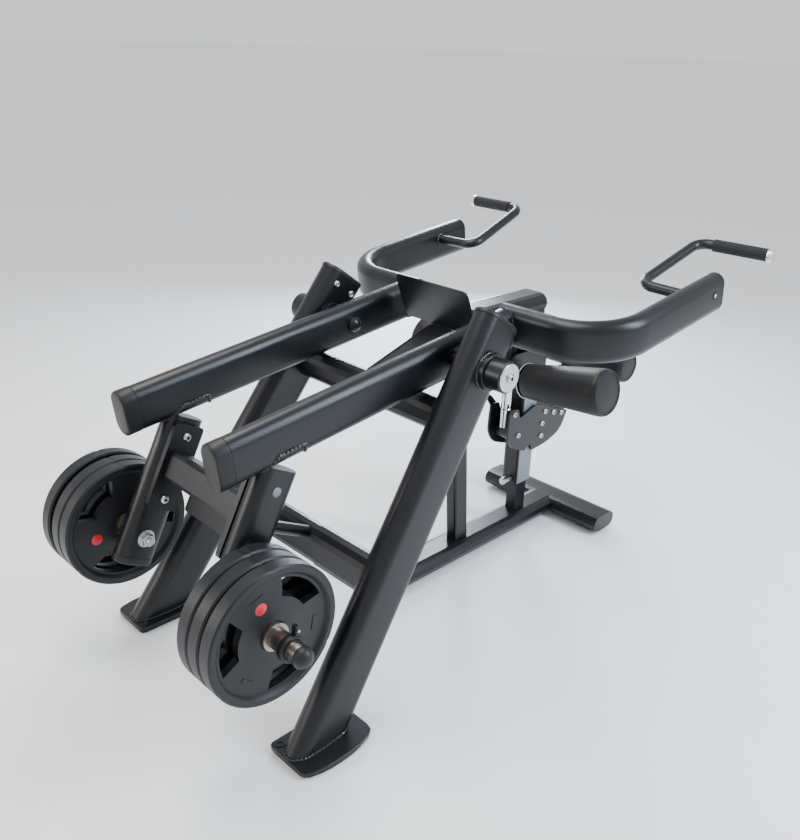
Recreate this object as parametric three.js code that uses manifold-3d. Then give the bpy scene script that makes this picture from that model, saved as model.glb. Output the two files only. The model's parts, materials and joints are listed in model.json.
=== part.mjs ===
// Plate-loaded lever press machine. Millimetres, +Z up.
// Origin: on the floor, under the middle of the machine's outline. The dimensions below are
// taken from the lever pivot axis, and FRAME_Y carries them to that origin.
// X runs across the machine, -Y is the user's end (handles), +Y the weight plates.
import * as THREE from 'three';
import { mergeVertices } from 'three/addons/utils/BufferGeometryUtils.js';
import Module from 'manifold-3d';

const wasm = await Module();
wasm.setup();

// ---- driving dimensions -------------------------------------------------
const GAP = 0.3;                   // clearance between touching pieces
const WALL = 4;                    // tube wall
const FRAME_Y = 65.34;             // lever pivot axis, behind the origin

const PIVOT_Z = 842;               // lever pivot height
const LEVER_TILT = THREE.MathUtils.degToRad(7.24);   // levers rise to the front
const LEVER_X = 200;
const LEVER_SIZE = [120, 60];      // flat-oval tube, tall x thick
const LEVER_REAR = 722;            // along the lever, behind the pivot
const LEVER_CAP = 24;
const ARM_ROOT = 272;              // along the lever, ahead of the pivot
const ARM_X = 515;
const ARM_BEND_R = 170;
const ARM_FRONT = 832;
const SHAFT_R = 20;

const POST_SIZE = [150, 75];
const POST_FOOT = [372, 597, 20.6];
const POST_TOP = [304, -65, 946];
const POST_CAP_T = 14;
const FOOT_PLATE_Z = [8.3, 20.3];

const CROSS_Y = 354;
const CROSS_Z = 355;
const CROSS_JOINT_X = 105;
const UPPER_CROSS = [85, 715];     // y, z

const FLAT_TUBE = [120, 60];       // base tubes, lying flat
const BASE_Z = 42;
const FOOT_BAR_Y = -835;
const FOOT_BAR_HALF = 257;

const UPRIGHT_X = 30;
const UPRIGHT_Y = [-665, -590];
const UPRIGHT_Z = [185.3, 815.7];
const TOP_BEAM_Z = 846;
const TOP_BEAM_Y = [-620, -300];

const HORN_Y = 719;
const HORN_Z = 400;
const HORN_R = 25;
const HANGER_DIR = new THREE.Vector3(0, 0.459, -0.888).normalize();
const HANGER_SIZE = [110, 60];
const HANGER_BELOW = 66;
const LINK_DOWN = -209;            // along the hanger from the horn
const LINK_SIZE = [80, 60];
const STRIKE_T = 6;
const STOP_X = 70;
const STOP_DOWN = -152;

const PLATE_R = 174;
const PLATE_T = 40;
const PLATE_HOLE_R = 36;
const PLATE_GRIP_TURN = 1.397;     // angle of the first grip hole from upright
const PLATE_X_LEFT = [262, 305, 349.5];
const PLATE_X_RIGHT = [262, 305, 363];

const ROLLER_Y = -529;
const ROLLER_INNER = [87, 610];    // x, z of the inner end centre
const ROLLER_OUTER = [383, 656];
const ROLLER_R = [56, 75];

// ---- helpers --------------------------------------------------------------
const v = (x, y, z) => new THREE.Vector3(x, y, z);
const X_DIR = v(1, 0, 0);
const Y_DIR = v(0, 1, 0);
const Z_DIR = v(0, 0, 1);
const SIDES = [['left', -1], ['right', 1]];

// Points along a lever: distance ahead of the pivot, offset above its centre line.
const FORWARD = v(0, -Math.cos(LEVER_TILT), Math.sin(LEVER_TILT));
const LEVER_UP = v(0, Math.sin(LEVER_TILT), Math.cos(LEVER_TILT));
const onLever = (x, ahead, up = 0) => v(x, 0, PIVOT_Z)
  .addScaledVector(FORWARD, ahead)
  .addScaledVector(LEVER_UP, up);

const onHanger = (x, down, across = 0) => {
  const acrossDir = v(0, -HANGER_DIR.z, HANGER_DIR.y);
  return v(x, HORN_Y, HORN_Z).addScaledVector(HANGER_DIR, down).addScaledVector(acrossDir, across);
};

function ovalShape(long, short, segments = 6) {
  const r = short / 2;
  const c = long / 2 - r;
  const shape = new THREE.Shape();
  for (let i = 0; i <= segments; i += 1) {
    const a = -Math.PI / 2 + (Math.PI * i) / segments;
    const p = [c + r * Math.cos(a), r * Math.sin(a)];
    if (i === 0) shape.moveTo(...p);
    else shape.lineTo(...p);
  }
  for (let i = 0; i <= segments; i += 1) {
    const a = Math.PI / 2 + (Math.PI * i) / segments;
    shape.lineTo(-c + r * Math.cos(a), r * Math.sin(a));
  }
  shape.closePath();
  return shape;
}

function circleShape(r, segments = 24, cx = 0, cy = 0) {
  const shape = new THREE.Shape();
  for (let i = 0; i < segments; i += 1) {
    const a = (2 * Math.PI * i) / segments;
    const p = [cx + r * Math.cos(a), cy + r * Math.sin(a)];
    if (i === 0) shape.moveTo(...p);
    else shape.lineTo(...p);
  }
  shape.closePath();
  return shape;
}

function polyShape(points) {
  const shape = new THREE.Shape();
  points.forEach((p, i) => (i === 0 ? shape.moveTo(...p) : shape.lineTo(...p)));
  shape.closePath();
  return shape;
}

function roundedShape(points, r, segments = 2) {
  const out = [];
  points.forEach((p, i) => {
    const a = new THREE.Vector2(...points[(i + points.length - 1) % points.length]);
    const b = new THREE.Vector2(...p);
    const c = new THREE.Vector2(...points[(i + 1) % points.length]);
    const radius = p[2] ?? r;
    const inDir = a.clone().sub(b).normalize();
    const outDir = c.clone().sub(b).normalize();
    const start = b.clone().addScaledVector(inDir, radius);
    const end = b.clone().addScaledVector(outDir, radius);
    for (let k = 0; k <= segments; k += 1) {
      const t = k / segments;
      out.push([
        (1 - t) ** 2 * start.x + 2 * t * (1 - t) * b.x + t ** 2 * end.x,
        (1 - t) ** 2 * start.y + 2 * t * (1 - t) * b.y + t ** 2 * end.y,
      ]);
    }
  });
  return polyShape(out);
}

// Straight bar from a to b; the shape's x axis points along longDir.
function bar(shape, a, b, longDir) {
  const dir = b.clone().sub(a);
  const length = dir.length();
  dir.normalize();
  const x = longDir.clone().addScaledVector(dir, -longDir.dot(dir)).normalize();
  const y = dir.clone().cross(x);
  const g = new THREE.ExtrudeGeometry(shape, { depth: length, bevelEnabled: false, steps: 1 });
  g.applyMatrix4(new THREE.Matrix4().makeBasis(x, y, dir).setPosition(a));
  return g;
}

function ovalTube(size, a, b, longDir, grow = 0) {
  const shape = ovalShape(size[0] + 2 * grow, size[1] + 2 * grow);
  if (grow === 0) shape.holes.push(ovalShape(size[0] - 2 * WALL, size[1] - 2 * WALL));
  return bar(shape, a, b, longDir);
}

const ovalBar = (size, a, b, longDir) => bar(ovalShape(...size), a, b, longDir);
const rod = (r, a, b, segments = 18) => {
  const side = Math.abs(b.clone().sub(a).normalize().z) > 0.9 ? X_DIR : Z_DIR;
  return bar(circleShape(r, segments), a, b, side);
};
const ring = (outer, inner, a, b, segments = 16) => {
  const shape = circleShape(outer, segments);
  shape.holes.push(circleShape(inner, segments));
  const side = Math.abs(b.clone().sub(a).normalize().z) > 0.9 ? X_DIR : Z_DIR;
  return bar(shape, a, b, side);
};

function box(x0, x1, y0, y1, z0, z1) {
  const g = new THREE.BoxGeometry(x1 - x0, y1 - y0, z1 - z0);
  g.translate((x0 + x1) / 2, (y0 + y1) / 2, (z0 + z1) / 2);
  return g;
}

// Solid of revolution: profile of [radius, distance] pairs round the axis a -> dir.
function turned(profile, a, dir, segments = 18) {
  const points = profile.map(([r, h]) => new THREE.Vector2(r, h));
  points.push(points[0].clone());
  const g = new THREE.LatheGeometry(points, segments);
  const y = dir.clone().normalize();
  const side = Math.abs(y.z) > 0.9 ? X_DIR : Z_DIR;
  const x = side.clone().addScaledVector(y, -side.dot(y)).normalize();
  const z = x.clone().cross(y);
  g.applyMatrix4(new THREE.Matrix4().makeBasis(x, y, z).setPosition(a));
  return g;
}

function solid(geometry) {
  const g = geometry.clone();
  g.deleteAttribute('normal');
  g.deleteAttribute('uv');
  const m = mergeVertices(g, 1e-3);
  const position = new Float32Array(m.attributes.position.array);
  const corners = [];
  for (let i = 0; i < m.index.count; i += 3) {
    const [a, b, c] = [0, 1, 2].map((k) => m.index.getX(i + k));
    if (a !== b && b !== c && c !== a) corners.push([a, b, c]);
  }
  const build = (triangles) => new wasm.Manifold(new wasm.Mesh({
    numProp: 3, vertProperties: position, triVerts: new Uint32Array(triangles.flat()),
  }));
  const made = build(corners);
  return made.volume() < 0 ? build(corners.map(([a, b, c]) => [a, c, b])) : made;
}

const cut = (body, ...tools) => tools.reduce((s, t) => s.subtract(solid(t)), solid(body));
const join = (...parts) => parts.map(solid).reduce((a, b) => a.add(b));

const group = new THREE.Group();
const FINISH = {
  paint: [0x17191c, 0.45, 0.5],
  rubber: [0x141414, 0.85, 0],
  plastic: [0x1b1c1e, 0.55, 0],
  zinc: [0xb9bcc0, 0.35, 1],
  chrome: [0xd8dadd, 0.12, 1],
  vinyl: [0x1a1a1c, 0.6, 0],
  foam: [0x151515, 0.9, 0],
  sleeve: [0x6e675d, 0.35, 1],
  nylon: [0xa7adb3, 0.6, 0],
};

function add(name, manifold, finish) {
  const mesh = manifold.getMesh();
  const g = new THREE.BufferGeometry();
  g.setAttribute('position', new THREE.BufferAttribute(new Float32Array(mesh.vertProperties), 3));
  g.setIndex(new THREE.BufferAttribute(new Uint32Array(mesh.triVerts), 1));
  g.translate(0, FRAME_Y, 0);
  g.computeVertexNormals();
  const [color, roughness, metalness] = FINISH[finish];
  const node = new THREE.Mesh(g, new THREE.MeshStandardMaterial({ color, roughness, metalness }));
  node.name = name;
  group.add(node);
}

// ---- posts, feet and bearings ----------------------------------------------
const at = (p, s) => v(p[0] * s, p[1], p[2]);
const postDir = (s) => at(POST_TOP, s).sub(at(POST_FOOT, s)).normalize();
const postLong = (s) => X_DIR.clone().cross(postDir(s)).normalize();
const postBar = (s, grow) => {
  const start = at(POST_FOOT, s).addScaledVector(postDir(s), -150);
  return ovalTube(POST_SIZE, start, at(POST_TOP, s), postLong(s), grow);
};

const FOOT_OUTLINE = [
  [308, 468], [436, 470, 18], [458, 520, 30], [464, 585, 34], [460, 650, 30], [441, 695, 16], [308, 695],
];
const footShape = (s, inset) => roundedShape(
  FOOT_OUTLINE.map(([x, y, r]) => [
    s * (385 + (x - 385) * (1 - inset / 78)), 582 + (y - 582) * (1 - inset / 114), (r ?? 14) * 0.9,
  ]),
  14,
);
const footPlate = (s) => {
  const shape = footShape(s, 0);
  shape.holes.push(circleShape(7, 16, s * 328, 674));
  return bar(shape, v(0, 0, FOOT_PLATE_Z[0]), v(0, 0, FOOT_PLATE_Z[1]), X_DIR);
};
const HOUSING = [[20.6, 262], [42, 262], [42, 354.5], [49, 354.5], [49, 366], [42, 366], [42, 413], [20.6, 413]];

for (const [side, s] of SIDES) {
  const below = box(-600, 600, 300, 1100, -400, FOOT_PLATE_Z[1] - 1);
  const bore = rod(20.6, v(s * 250, 0, PIVOT_Z), v(s * 430, 0, PIVOT_Z), 24);
  const tube = cut(postBar(s, 0), below, bore);
  const housing = turned(HOUSING, v(0, 0, PIVOT_Z), v(s, 0, 0), 24);
  add(`post_${side}`, tube.add(solid(housing)).add(solid(footPlate(s))), 'paint');

  const a = at(POST_TOP, s).addScaledVector(postDir(s), GAP);
  const b = a.clone().addScaledVector(postDir(s), POST_CAP_T);
  const size = POST_SIZE.map((d) => d + 4);
  add(`post_cap_${side}`, solid(ovalBar(size, a, b, postLong(s))), 'paint');

  const pad = bar(footShape(s, 4), v(0, 0, 0), v(0, 0, FOOT_PLATE_Z[0] - GAP), X_DIR);
  add(`foot_pad_${side}`, solid(pad), 'rubber');
}

for (const [side, s] of SIDES) {
  const x = s * 190;
  const pad = box(x - 30, x + 30, FOOT_BAR_Y - 26, FOOT_BAR_Y + 26, 0, BASE_Z - 30 - GAP);
  add(`foot_bar_pad_${side}`, solid(pad), 'rubber');
}

// ---- cross members -----------------------------------------------------------
const crossTube = (x0, x1, size, grow = 0) => ovalTube(
  size, v(x0, CROSS_Y, CROSS_Z), v(x1, CROSS_Y, CROSS_Z), Z_DIR, grow,
);
for (const [side, s] of SIDES) {
  const tube = cut(crossTube(s * CROSS_JOINT_X, s * 345, [126, 66]), postBar(s, GAP));
  const half = box(...[s * 342, s * 1].sort((a, b) => a - b), 200, 600, 150, 600);
  add(`cross_stub_${side}`, tube.intersect(solid(half)), 'paint');
}
const stopAxis = (s, across) => onHanger(s * STOP_X, STOP_DOWN, across);
const stopFace = -(LINK_SIZE[1] / 2 + STRIKE_T + GAP);
add('cross_beam', join(
  crossTube(-CROSS_JOINT_X + GAP, CROSS_JOINT_X - GAP, LEVER_SIZE),
  ...SIDES.map(([, s]) => rod(17, stopAxis(s, -312), stopAxis(s, stopFace - 45 - GAP))),
), 'paint');
for (const [side, s] of SIDES) {
  add(`stop_bumper_${side}`, solid(rod(21, stopAxis(s, stopFace - 45), stopAxis(s, stopFace))), 'rubber');
}

const upperTube = (grow = 0) => ovalTube(
  [90, 60], v(-300, ...UPPER_CROSS), v(300, ...UPPER_CROSS), Z_DIR, grow,
);
add('upper_cross_tube', cut(upperTube(), postBar(-1, GAP), postBar(1, GAP))
  .intersect(solid(box(-289, 289, -100, 400, 600, 800))), 'paint');

// ---- base and centre frame -----------------------------------------------------
const footBar = (grow = 0) => ovalTube(
  FLAT_TUBE, v(-FOOT_BAR_HALF + 8, FOOT_BAR_Y, BASE_Z), v(FOOT_BAR_HALF - 8, FOOT_BAR_Y, BASE_Z), Y_DIR, grow,
);
const closedEnd = (size, a, dir, thick, long) => ovalBar(
  size, a.clone().addScaledVector(dir, -1), a.clone().addScaledVector(dir, thick), long,
);
add('foot_bar', join(
  footBar(),
  ...SIDES.map(([, s]) => closedEnd(
    FLAT_TUBE, v(s * (FOOT_BAR_HALF - 8), FOOT_BAR_Y, BASE_Z), v(s, 0, 0), s < 0 ? 7 : 8, Y_DIR,
  )),
).subtract(solid(rod(3, v(200, FOOT_BAR_Y, BASE_Z), v(300, FOOT_BAR_Y, BASE_Z), 12))), 'paint');
add('base_beam', cut(
  ovalTube(FLAT_TUBE, v(0, 12, BASE_Z), v(0, FOOT_BAR_Y + 20, BASE_Z), X_DIR), footBar(GAP),
), 'paint');
add('top_beam_cap', solid(ovalBar(
  FLAT_TUBE, v(0, TOP_BEAM_Y[0] - GAP, TOP_BEAM_Z), v(0, TOP_BEAM_Y[0] - 9, TOP_BEAM_Z), X_DIR,
)), 'plastic');

const inclined = (grow = 0) => ovalTube(
  [112, 60], v(0, UPPER_CROSS[0], UPPER_CROSS[1] + 6), v(0, TOP_BEAM_Y[1] - 30, TOP_BEAM_Z + 10), X_DIR, grow,
);
const topBeam = (grow = 0) => ovalTube(
  FLAT_TUBE, v(0, TOP_BEAM_Y[0], TOP_BEAM_Z), v(0, TOP_BEAM_Y[1], TOP_BEAM_Z), X_DIR, grow,
);
const inclinedLimit = box(-100, 100, TOP_BEAM_Y[1] + GAP, 300, 500, 1100);
add('center_beam_rear', cut(inclined(), upperTube(GAP)).intersect(solid(inclinedLimit))
  .intersect(solid(box(-100, 100, -500, UPPER_CROSS[0] - 10, 500, 1100))), 'paint');
add('top_beam', solid(topBeam()), 'paint');

const rearUpright = roundedShape([[-22, -30], [22, -30], [22, 30], [-22, 30]], 8);
rearUpright.holes.push(roundedShape([[-18, -26], [18, -26], [18, 26], [-18, 26]], 5));
add('rear_upright', cut(
  bar(rearUpright, v(0, -326, 40), v(0, -262, 830), X_DIR),
  box(-100, 100, -500, 0, -50, BASE_Z + 30 + GAP),
  inclined(GAP),
  topBeam(GAP),
  box(-100, 100, -400, -100, 800, 1000),
), 'paint');

const uprightShape = roundedShape([
  [-UPRIGHT_X, UPRIGHT_Y[0]], [UPRIGHT_X, UPRIGHT_Y[0]], [UPRIGHT_X, UPRIGHT_Y[1]], [-UPRIGHT_X, UPRIGHT_Y[1]],
], 6);
uprightShape.holes.push(roundedShape([
  [-UPRIGHT_X + WALL, UPRIGHT_Y[0] + WALL], [UPRIGHT_X - WALL, UPRIGHT_Y[0] + WALL],
  [UPRIGHT_X - WALL, UPRIGHT_Y[1] - WALL], [-UPRIGHT_X + WALL, UPRIGHT_Y[1] - WALL],
], 3));
add('front_upright', join(
  bar(uprightShape, v(0, 0, UPRIGHT_Z[0]), v(0, 0, UPRIGHT_Z[1]), X_DIR),
  box(-25, 25, -663, -603, UPRIGHT_Z[0] - 1, UPRIGHT_Z[0] + 5),
  box(-21, 21, -660, -609, BASE_Z + 30 + GAP, UPRIGHT_Z[0]),
), 'paint');

for (const [side, s] of SIDES) {
  const xs = [s * (UPRIGHT_X + GAP), s * (UPRIGHT_X + 3.5)].sort((a, b) => a - b);
  add(`guide_strip_${side}`, solid(box(...xs, -662, -593, 190, 556)), 'nylon');
}
add('stop_pin', solid(turned(
  [[0, 0], [13, 0], [13, 38], [11, 42], [0, 42]], v(0, UPRIGHT_Y[1] + GAP, 202), Y_DIR, 24,
)), 'zinc');

// ---- guard plate -----------------------------------------------------------------
const GUARD_BOTTOM = v(0, -194, 843);
const GUARD_UP = v(0, 0.375, 0.927).normalize();
const guardShape = roundedShape([[-142, 0], [142, 0], [142, 148], [-142, 148]], 16);
add('guard_plate', cut(bar(
  guardShape, GUARD_BOTTOM.clone().add(v(0, GUARD_UP.z, -GUARD_UP.y).multiplyScalar(4)), GUARD_BOTTOM, X_DIR,
), inclined(GAP), topBeam(GAP)), 'paint');

// ---- roller holder and rollers ---------------------------------------------------
const HOLDER_Z = [566, 690];
const holderSide = (s) => {
  const outline = roundedShape([
    [-672, HOLDER_Z[0]], [-500, HOLDER_Z[0] + 6], [-490, 640], [-505, HOLDER_Z[1]], [-672, HOLDER_Z[1]],
  ], 10);
  const x0 = s * (UPRIGHT_X + 4.5);
  const x1 = s * (UPRIGHT_X + 12.5);
  return bar(outline, v(Math.min(x0, x1), 0, 0), v(Math.max(x0, x1), 0, 0), Y_DIR);
};
const rollerA = (s) => v(s * ROLLER_INNER[0], ROLLER_Y, ROLLER_INNER[1]);
const rollerDir = (s) => v(s * (ROLLER_OUTER[0] - ROLLER_INNER[0]), 0, ROLLER_OUTER[1] - ROLLER_INNER[1]).normalize();
const ROLLER_LEN = Math.hypot(ROLLER_OUTER[0] - ROLLER_INNER[0], ROLLER_OUTER[1] - ROLLER_INNER[1]);
const shaftStart = (s) => {
  const d = rollerDir(s);
  const back = (ROLLER_INNER[0] - UPRIGHT_X - 9) / Math.abs(d.x);
  return rollerA(s).addScaledVector(d, -back);
};
add('roller_holder', join(
  holderSide(-1), holderSide(1),
  box(-UPRIGHT_X - 12.5, UPRIGHT_X + 12.5, -680, UPRIGHT_Y[0] - GAP, HOLDER_Z[0], HOLDER_Z[1]),
  ...SIDES.map(([, s]) => rod(
    12.5, shaftStart(s), rollerA(s).addScaledVector(rollerDir(s), ROLLER_LEN - 20),
  )),
  ...SIDES.map(([, s]) => {
    const a = rollerA(s).addScaledVector(rollerDir(s), -9);
    return rod(57, a, a.clone().addScaledVector(rollerDir(s), 8), 32);
  }),
), 'paint');
const PAD_PROFILE = [
  [13, 0], [ROLLER_R[0] - 5, 0], [ROLLER_R[0], 6],
  [ROLLER_R[1], ROLLER_LEN - 8], [ROLLER_R[1] - 6, ROLLER_LEN], [0, ROLLER_LEN],
  [0, ROLLER_LEN - 19], [13, ROLLER_LEN - 19],
];
for (const [side, s] of SIDES) {
  add(`roller_pad_${side}`, solid(turned(PAD_PROFILE, rollerA(s), rollerDir(s), 24)), 'vinyl');
}

// ---- height carriage ----------------------------------------------------------------
const CAR_X = [UPRIGHT_X + 8, UPRIGHT_X + 16];
const carriageOutline = roundedShape([
  [-506, 494, 12], [-548, 494, 12], [-559, 455, 8], [-642, 482, 8], [-834, 414, 8], [-806, 345, 40],
  [-720, 318, 30], [-640, 312, 6], [-634, 336, 6], [-610, 336, 6], [-604, 322, 6], [-528, 350, 22], [-500, 396, 22],
], 8, 3);
const inner = CAR_X[0] - GAP;
const SPACER = [-556, 394];
const WHEELS = [[-688, 402], [-688, 355]];
const CAR_BOLTS = [[-528, 478], SPACER, ...WHEELS, [-700, 444], [-750, 428], [-798, 414]];
const buttonHead = (p, dir, r = 10, h = 6) => turned(
  [[0, -1], [r, -1], [r, h * 0.4], [r * 0.7, h], [0, h]], p, dir, 8,
);
for (const [side, s] of SIDES) {
  const xs = CAR_X.map((x) => x * s).sort((a, b) => a - b);
  add(`carriage_plate_${side}`, join(
    bar(carriageOutline, v(xs[0], 0, 0), v(xs[1], 0, 0), Y_DIR),
    ...CAR_BOLTS.map(([y, z]) => buttonHead(v(s * CAR_X[1], y, z), v(s, 0, 0))),
  ), 'paint');
}
add('carriage_spacer', solid(rod(25, v(-inner, ...SPACER), v(inner, ...SPACER), 20)), 'paint');
WHEELS.forEach((w, i) => {
  add(`guide_wheel_${i + 1}`, solid(rod(20, v(-inner, ...w), v(inner, ...w), 20)), 'plastic');
});

const ARM_BAR = 24;
add('pad_arm', join(
  box(-inner, inner, -800, -728, 405, 447),
  box(-ARM_BAR, ARM_BAR, -970, -799, 408, 444),
  box(-ARM_BAR, ARM_BAR, -970, -934, 408, 528),
  box(-70, 70, -990, -914, 524, 532),
), 'paint');
const FRONT_PAD = [-952, 589.5];
add('front_pad', solid(turned(
  [[0, -200], [50, -200], [57, -190], [57, 190], [50, 200], [0, 200]], v(0, ...FRONT_PAD), X_DIR, 24,
)), 'vinyl');

const GAS_Y = -536;
add('gas_spring_rod', join(
  turned([[0, 419.5], [19, 419.5], [19, 484], [17, 488], [17, 740], [0, 740]], v(0, GAS_Y, 0), Z_DIR, 28),
), 'chrome');
add('gas_spring_body', solid(turned(
  [[17.8, 572], [22, 576], [22, 815.7], [0, 815.7], [0, 790], [17.8, 790]], v(0, GAS_Y, 0), Z_DIR, 28,
)), 'paint');

const RELEASE = v(CAR_X[1] + 8, -572, 440);
const releaseShape = roundedShape([[-584, 430], [-560, 430], [-500, 512], [-516, 524], [-588, 448]], 7, 3);
add('release_lever', join(
  bar(releaseShape, v(CAR_X[1] + 7, 0, 0), v(CAR_X[1] + 13, 0, 0), Y_DIR),
  rod(9, v(CAR_X[1] + 12, -512, 515), v(CAR_X[1] + 52, -512, 515), 20),
  rod(8, v(CAR_X[1] + GAP, RELEASE.y, RELEASE.z), v(CAR_X[1] + 8, RELEASE.y, RELEASE.z), 20),
), 'paint');

// ---- levers, arms and handles ----------------------------------------------------------
function armSolid(s, grow = 0) {
  const path = new THREE.CurvePath();
  const start = v(168, ARM_ROOT, 0);
  const bendIn = v(ARM_X - ARM_BEND_R, ARM_ROOT, 0);
  const corner = v(ARM_X, ARM_ROOT, 0);
  const bendOut = v(ARM_X, ARM_ROOT + ARM_BEND_R, 0);
  const end = v(ARM_X, ARM_FRONT, 0);
  const k = 0.5523;
  path.add(new THREE.LineCurve3(start, bendIn));
  path.add(new THREE.CubicBezierCurve3(
    bendIn, bendIn.clone().lerp(corner, k), bendOut.clone().lerp(corner, k), bendOut,
  ));
  path.add(new THREE.LineCurve3(bendOut, end));
  const shape = ovalShape(LEVER_SIZE[0] + 2 * grow, LEVER_SIZE[1] + 2 * grow);
  if (grow === 0) shape.holes.push(ovalShape(LEVER_SIZE[0] - 2 * WALL, LEVER_SIZE[1] - 2 * WALL));
  const g = new THREE.ExtrudeGeometry(shape, { steps: 13, bevelEnabled: false, extrudePath: path });
  const basis = new THREE.Matrix4().makeBasis(v(s, 0, 0), FORWARD, LEVER_UP);
  g.applyMatrix4(basis.setPosition(0, 0, PIVOT_Z));
  return solid(g);
}

const hangerTube = (s, grow = 0) => ovalTube(
  HANGER_SIZE, onHanger(s * LEVER_X, -380), onHanger(s * LEVER_X, HANGER_BELOW),
  v(0, -HANGER_DIR.z, HANGER_DIR.y), grow,
);
const leverTube = (s, grow = 0) => ovalTube(
  LEVER_SIZE, onLever(s * LEVER_X, -LEVER_REAR), onLever(s * LEVER_X, ARM_ROOT), LEVER_UP, grow,
);
const shaftHole = (s) => rod(SHAFT_R + GAP, v(s * 120, 0, PIVOT_Z), v(s * 460, 0, PIVOT_Z), 24);

for (const [side, s] of SIDES) {
  const rearCap = closedEnd(
    LEVER_SIZE, onLever(s * LEVER_X, -LEVER_REAR), FORWARD.clone().negate(), LEVER_CAP, LEVER_UP,
  );
  const tube = cut(leverTube(s), shaftHole(s)).subtract(armSolid(s, GAP));
  add(`lever_${side}`, tube.add(solid(rearCap)), 'paint');
}
const SHAFT_PROFILE = [
  [0, 150], [9, 151], [17, 156], [23, 163], [24, 169.7], [SHAFT_R, 169.7], [SHAFT_R, 413], [0, 413],
];
for (const [side, s] of SIDES) {
  const disc = [[0, 412], [SHAFT_R, 412], [SHAFT_R, 413.4], [36, 413.4], [36, 416.4], [35, 417.4], [0, 417.4]];
  const axis = [v(0, 0, PIVOT_Z), v(s, 0, 0)];
  add(`pivot_shaft_${side}`, join(
    turned(SHAFT_PROFILE, ...axis),
    turned(disc, ...axis, 24),
    buttonHead(v(s * 417.4, 0, PIVOT_Z), v(s, 0, 0), 12, 6),
  ), 'paint');
}

const HANDLE = [[484.6, -700, 952], [335, -706, 954], [362, -988, 1048], [589, -1003, 1045]];
function bentRod(points, r, bendR, segments = 8) {
  const path = new THREE.CurvePath();
  let from = points[0];
  for (let i = 1; i < points.length - 1; i += 1) {
    const inDir = points[i - 1].clone().sub(points[i]).normalize();
    const outDir = points[i + 1].clone().sub(points[i]).normalize();
    const start = points[i].clone().addScaledVector(inDir, bendR);
    const end = points[i].clone().addScaledVector(outDir, bendR);
    path.add(new THREE.LineCurve3(from, start));
    path.add(new THREE.QuadraticBezierCurve3(start, points[i], end));
    from = end;
  }
  path.add(new THREE.LineCurve3(from, points[points.length - 1]));
  return new THREE.ExtrudeGeometry(circleShape(r, segments), { steps: 24, bevelEnabled: false, extrudePath: path });
}
const handlePoints = (s) => HANDLE.map((p) => at(p, s));
const gripFrom = (s, back) => {
  const pts = handlePoints(s);
  const dir = pts[3].clone().sub(pts[2]).normalize();
  return pts[3].clone().addScaledVector(dir, back);
};
for (const [side, s] of SIDES) {
  const tube = solid(bentRod(handlePoints(s), 16, 42));
  const cap = solid(rod(20, gripFrom(s, -0.5), gripFrom(s, 11), 16));
  const armEnd = closedEnd(LEVER_SIZE, onLever(s * ARM_X, ARM_FRONT), FORWARD, 10, LEVER_UP);
  add(`arm_${side}`, armSolid(s).add(solid(armEnd)).add(tube).add(cap), 'paint');
  add(`grip_${side}`, solid(ring(19.5, 16.4, gripFrom(s, -176), gripFrom(s, -1), 16)), 'foam');
}

// ---- hangers, link tube and horns ---------------------------------------------------------
const hangerLong = v(0, -HANGER_DIR.z, HANGER_DIR.y);
for (const [side, s] of SIDES) {
  const x = s * LEVER_X;
  const hole = rod(10.3, v(s * 100, HORN_Y, HORN_Z), v(s * 300, HORN_Y, HORN_Z), 24);
  const tube = cut(hangerTube(s), leverTube(s, GAP), box(-600, 600, -200, 1000, 752, 1400));
  const foot = closedEnd(HANGER_SIZE, onHanger(x, HANGER_BELOW), HANGER_DIR, 12, hangerLong);
  add(`hanger_${side}`, tube.add(solid(foot)).subtract(solid(hole)), 'paint');
}

const linkShape = roundedShape([[-40, -30], [40, -30], [40, 30], [-40, 30]], 12);
linkShape.holes.push(roundedShape([[-36, -26], [36, -26], [36, 26], [-36, 26]], 8));
const flangeShape = roundedShape([[-112, -44], [122, -44], [122, 44], [-112, 44]], 10);
flangeShape.holes.push(circleShape(9, 16, 0, 0));
add('link_tube', join(
  bar(linkShape, onHanger(-156, LINK_DOWN, 0), onHanger(156, LINK_DOWN, 0), HANGER_DIR),
  bar(
    roundedShape([[-100, -36], [100, -36], [100, 97], [-100, 97]], 8),
    onHanger(0, LINK_DOWN, -LINK_SIZE[1] / 2 - STRIKE_T), onHanger(0, LINK_DOWN, -LINK_SIZE[1] / 2 + 1), X_DIR,
  ),
  bar(flangeShape, onHanger(154, LINK_DOWN, 0), onHanger(169.6, LINK_DOWN, 0), HANGER_DIR),
  bar(flangeShape, onHanger(-169.6, LINK_DOWN, 0), onHanger(-154, LINK_DOWN, 0), HANGER_DIR),
  ...SIDES.flatMap(([, s]) => [-80, 92].map((down) => buttonHead(
    onHanger(s * 154, LINK_DOWN + down), v(-s, 0, 0), 11, 7,
  ))),
), 'paint');

const HORN_PROFILE = [[0, 143], [10, 143], [10, 230.6], [40, 230.6], [40, 238], [HORN_R, 238], [HORN_R, 478], [0, 478]];
const HORN_CAP = [[0, 477]];
for (let i = 0; i <= 4; i += 1) {
  const a = (Math.PI / 2) * (i / 4);
  HORN_CAP.push([26 * Math.cos(a), 482 + 23 * Math.sin(a)]);
}
HORN_CAP.splice(1, 0, [26, 477]);
const hornAt = (s) => [v(0, HORN_Y, HORN_Z), v(s, 0, 0)];
for (const [side, s] of SIDES) {
  const axis = hornAt(s);
  add(`horn_${side}`, join(
    turned(HORN_PROFILE, ...axis, 18),
    turned(HORN_CAP, ...axis, 18),
    bar(circleShape(18, 6), v(s * 152, HORN_Y, HORN_Z), v(s * 169.4, HORN_Y, HORN_Z), Z_DIR),
  ), 'sleeve');
}

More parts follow.
